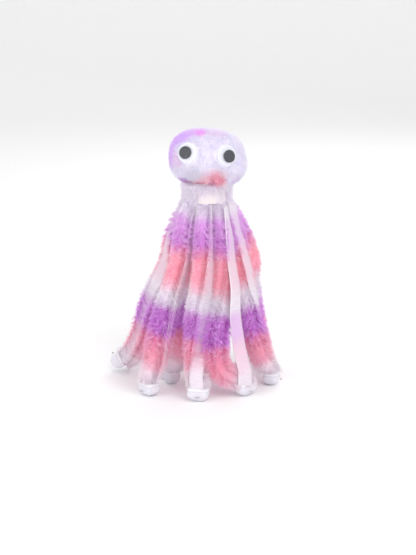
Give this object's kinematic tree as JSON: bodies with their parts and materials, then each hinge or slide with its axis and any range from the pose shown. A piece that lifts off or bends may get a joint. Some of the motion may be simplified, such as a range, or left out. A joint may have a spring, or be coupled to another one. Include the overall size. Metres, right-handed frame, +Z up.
{
  "type": "plush octopus toy",
  "caption": "Small stuffed octopus with a round pile head, wobbly eyes and long plush legs closed with satin ribbon, standing on its toes.",
  "frame": {"origin": "middle of the footprint, on the surface that the toes stand on", "axes": "+Z up, -Y towards the front, where the eyes look, +X to the right of someone facing the toy"},
  "size_m": [0.1304, 0.1004, 0.188],
  "materials": {
    "long_pile": "long pile plush, tie-dyed in white, purple and pink bands",
    "short_pile": "short pile plush, white with purple and pink clouds",
    "satin_ribbon": "satin weave, pale tints of the pile bands",
    "fibre_fill": "loose polyester fibre",
    "thread": "sewing thread",
    "eye_white": "gloss",
    "eye_clear": "clear gloss",
    "eye_black": "gloss"
  },
  "bodies": {
    "head": {"head_cover": "short_pile", "head_filling": "fibre_fill", "neck_band": "satin_ribbon", "neck_gather": "short_pile", "left_eye_disc": "eye_white", "left_eye_dome": "eye_clear", "right_eye_disc": "eye_white", "right_eye_dome": "eye_clear"},
    "left_pupil": {"left_pupil": "eye_black"},
    "right_pupil": {"right_pupil": "eye_black"},
    "front_leg_upper": {"front_leg_upper_pile": "long_pile", "front_leg_upper_ribbon": "satin_ribbon"},
    "front_leg_lower": {"front_leg_lower_pile": "long_pile", "front_leg_lower_ribbon": "satin_ribbon", "front_toe": "short_pile", "front_toe_stitch": "thread"},
    "front_right_leg_upper": {"front_right_leg_upper_pile": "long_pile", "front_right_leg_upper_ribbon": "satin_ribbon"},
    "front_right_leg_lower": {"front_right_leg_lower_pile": "long_pile", "front_right_leg_lower_ribbon": "satin_ribbon", "front_right_toe": "short_pile", "front_right_toe_stitch": "thread"},
    "right_leg_upper": {"right_leg_upper_pile": "long_pile", "right_leg_upper_ribbon": "satin_ribbon"},
    "right_leg_lower": {"right_leg_lower_pile": "long_pile", "right_leg_lower_ribbon": "satin_ribbon", "right_toe": "short_pile", "right_toe_stitch": "thread"},
    "back_right_leg_upper": {"back_right_leg_upper_pile": "long_pile", "back_right_leg_upper_ribbon": "satin_ribbon"},
    "back_right_leg_lower": {"back_right_leg_lower_pile": "long_pile", "back_right_leg_lower_ribbon": "satin_ribbon", "back_right_toe": "short_pile", "back_right_toe_stitch": "thread"},
    "back_leg_upper": {"back_leg_upper_pile": "long_pile", "back_leg_upper_ribbon": "satin_ribbon"},
    "back_leg_lower": {"back_leg_lower_pile": "long_pile", "back_leg_lower_ribbon": "satin_ribbon", "back_toe": "short_pile", "back_toe_stitch": "thread"},
    "back_left_leg_upper": {"back_left_leg_upper_pile": "long_pile", "back_left_leg_upper_ribbon": "satin_ribbon"},
    "back_left_leg_lower": {"back_left_leg_lower_pile": "long_pile", "back_left_leg_lower_ribbon": "satin_ribbon", "back_left_toe": "short_pile", "back_left_toe_stitch": "thread"},
    "left_leg_upper": {"left_leg_upper_pile": "long_pile", "left_leg_upper_ribbon": "satin_ribbon"},
    "left_leg_lower": {"left_leg_lower_pile": "long_pile", "left_leg_lower_ribbon": "satin_ribbon", "left_toe": "short_pile", "left_toe_stitch": "thread"},
    "front_left_leg_upper": {"front_left_leg_upper_pile": "long_pile", "front_left_leg_upper_ribbon": "satin_ribbon"},
    "front_left_leg_lower": {"front_left_leg_lower_pile": "long_pile", "front_left_leg_lower_ribbon": "satin_ribbon", "front_left_toe": "short_pile", "front_left_toe_stitch": "thread"}
  },
  "joints": [
    {"name": "left_pupil_roll", "type": "hinge", "parent": "head", "child": "left_pupil", "pos_m": [-0.00392, -0.01783, 0.17585], "axis": [-0.3271, -0.8986, 0.2924], "continuous": true},
    {"name": "right_pupil_roll", "type": "hinge", "parent": "head", "child": "right_pupil", "pos_m": [0.02342, -0.01829, 0.17419], "axis": [0.4555, -0.8567, 0.2419], "continuous": true},
    {"name": "front_hip", "type": "hinge", "parent": "head", "child": "front_leg_upper", "pos_m": [0.00795, -0.01325, 0.138], "axis": [-0.9887, 0.1498, 0], "range_deg": [0, 60]},
    {"name": "front_knee", "type": "hinge", "parent": "front_leg_upper", "child": "front_leg_lower", "pos_m": [0.00448, -0.02513, 0.07058], "axis": [-0.9887, 0.1498, 0], "range_deg": [0, 35]},
    {"name": "front_right_hip", "type": "hinge", "parent": "head", "child": "front_right_leg_upper", "pos_m": [0.0211, -0.00931, 0.138], "axis": [-0.792, -0.6105, 0], "range_deg": [0, 60]},
    {"name": "front_right_knee", "type": "hinge", "parent": "front_right_leg_upper", "child": "front_right_leg_lower", "pos_m": [0.03013, -0.02322, 0.06444], "axis": [-0.792, -0.6105, 0], "range_deg": [0, 35]},
    {"name": "right_hip", "type": "hinge", "parent": "head", "child": "right_leg_upper", "pos_m": [0.02731, 0.00227, 0.138], "axis": [-0.2559, -0.9667, 0], "range_deg": [0, 60]},
    {"name": "right_knee", "type": "hinge", "parent": "right_leg_upper", "child": "right_leg_lower", "pos_m": [0.03866, -0.00786, 0.07093], "axis": [-0.2559, -0.9667, 0], "range_deg": [0, 35]},
    {"name": "back_right_hip", "type": "hinge", "parent": "head", "child": "back_right_leg_upper", "pos_m": [0.0239, 0.01527, 0.138], "axis": [0.4741, -0.8805, 0], "range_deg": [0, 60]},
    {"name": "back_right_knee", "type": "hinge", "parent": "back_right_leg_upper", "child": "back_right_leg_lower", "pos_m": [0.04032, 0.02489, 0.07301], "axis": [0.4741, -0.8805, 0], "range_deg": [0, 35]},
    {"name": "back_hip", "type": "hinge", "parent": "head", "child": "back_leg_upper", "pos_m": [0.01137, 0.02225, 0.138], "axis": [0.9895, -0.1443, 0], "range_deg": [0, 60]},
    {"name": "back_knee", "type": "hinge", "parent": "back_leg_upper", "child": "back_leg_lower", "pos_m": [0.01072, 0.0306, 0.07127], "axis": [0.9895, -0.1443, 0], "range_deg": [0, 35]},
    {"name": "back_left_hip", "type": "hinge", "parent": "head", "child": "back_left_leg_upper", "pos_m": [-0.00405, 0.01485, 0.138], "axis": [0.177, 0.9842, 0], "range_deg": [0, 60]},
    {"name": "back_left_knee", "type": "hinge", "parent": "back_left_leg_upper", "child": "back_left_leg_lower", "pos_m": [-0.02597, 0.01792, 0.06985], "axis": [0.177, 0.9842, 0], "range_deg": [0, 35]},
    {"name": "left_hip", "type": "hinge", "parent": "head", "child": "left_leg_upper", "pos_m": [-0.00739, 0.00294, 0.138], "axis": [-0.5328, 0.8462, 0], "range_deg": [0, 60]},
    {"name": "left_knee", "type": "hinge", "parent": "left_leg_upper", "child": "left_leg_lower", "pos_m": [-0.00776, 0.00232, 0.07039], "axis": [-0.5328, 0.8462, 0], "range_deg": [0, 35]},
    {"name": "front_left_hip", "type": "hinge", "parent": "head", "child": "front_left_leg_upper", "pos_m": [-0.00406, -0.00702, 0.138], "axis": [-0.6292, 0.7772, 0], "range_deg": [0, 60]},
    {"name": "front_left_knee", "type": "hinge", "parent": "front_left_leg_upper", "child": "front_left_leg_lower", "pos_m": [-0.01655, -0.01719, 0.07121], "axis": [-0.6292, 0.7772, 0], "range_deg": [0, 35]}
  ]
}
